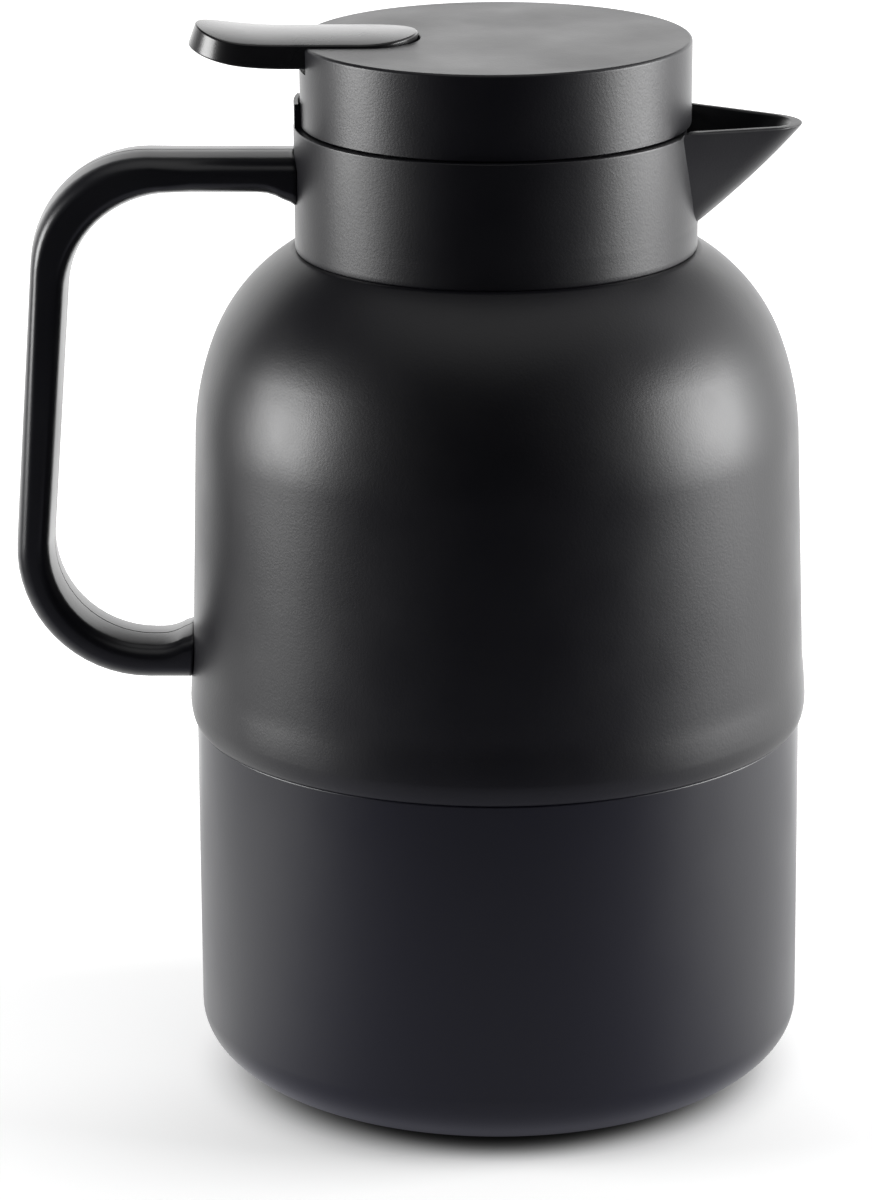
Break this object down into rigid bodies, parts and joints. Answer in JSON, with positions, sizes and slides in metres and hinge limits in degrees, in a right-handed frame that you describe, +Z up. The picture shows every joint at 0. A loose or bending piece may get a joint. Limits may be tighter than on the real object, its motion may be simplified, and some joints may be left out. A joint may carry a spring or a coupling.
{
  "type": "insulated jug",
  "caption": "Insulated pouring jug with a loop handle, a beak, a screw-in lid and a thumb lever that opens its valve.",
  "frame": {"origin": "centre of the foot pad's underside, on the table, on the jug's axis", "axes": "+Z up along the axis, +X towards the beak, -X towards the handle, +Y to the left of the beak"},
  "size_m": [0.1917, 0.15, 0.2614],
  "materials": {
    "casing_plastic": "satin fine-textured black polypropylene",
    "collar_plastic": "satin fine-textured black polypropylene",
    "lid_plastic": "satin fine-textured black polypropylene",
    "handle_plastic": "semi-gloss black polypropylene",
    "lever_plastic": "semi-gloss black plastic",
    "inner_plastic": "smooth black polypropylene",
    "flask_steel": "drawn stainless steel",
    "screw_steel": "stainless steel",
    "silicone": "matte grey silicone",
    "seal_glass": "dull sealing bead"
  },
  "bodies": {
    "jug": {"lower_shell": "casing_plastic", "upper_shell": "casing_plastic", "spout_collar": "collar_plastic", "neck_sleeve": "inner_plastic", "neck_ring_nut": "inner_plastic", "flask_outer_wall": "flask_steel", "flask_inner_wall": "flask_steel", "vacuum_seal_plug": "seal_glass", "getter": "flask_steel", "mouth_gasket": "silicone", "base_cushion": "silicone", "foot_pad": "silicone", "handle": "handle_plastic", "handle_screws": "screw_steel"},
    "seal_ring": {"stopper_gasket": "silicone"},
    "lid": {"lid_cap": "lid_plastic", "lever_pin": "screw_steel", "stopper_body": "inner_plastic", "lid_screws": "screw_steel", "valve_seat": "inner_plastic", "chamber_cover": "inner_plastic", "stem_seal": "silicone", "return_spring": "screw_steel"},
    "lever": {"thumb_lever": "lever_plastic"},
    "valve": {"valve_stem": "inner_plastic", "valve_gasket": "silicone", "valve_disc": "inner_plastic", "stem_cap": "inner_plastic"}
  },
  "joints": [
    {"name": "lid_lift", "type": "slide", "parent": "jug", "child": "seal_ring", "axis": [0, 0, 1], "range_m": [0, 0.054]},
    {"name": "lid_turn", "type": "hinge", "parent": "seal_ring", "child": "lid", "pos_m": [0, 0, 0.238], "axis": [0, 0, 1], "range_deg": [0, 810]},
    {"name": "valve_lift", "type": "slide", "parent": "lid", "child": "valve", "axis": [0, 0, 1], "range_m": [0, 0.005], "stiffness_N_per_m": 600, "springref_m": -0.01, "deforming": ["return_spring"]},
    {"name": "lever_press", "type": "hinge", "parent": "lid", "child": "lever", "pos_m": [-0.0405, 0, 0.2548], "axis": [0, -1, 0], "range_deg": [0, 7]}
  ],
  "couplings": [
    {"joint": "lid_lift", "follows": "lid_turn", "m_per_rad": 0.0038197},
    {"joint": "lever_press", "follows": "valve_lift", "rad_per_m": 24.39}
  ]
}
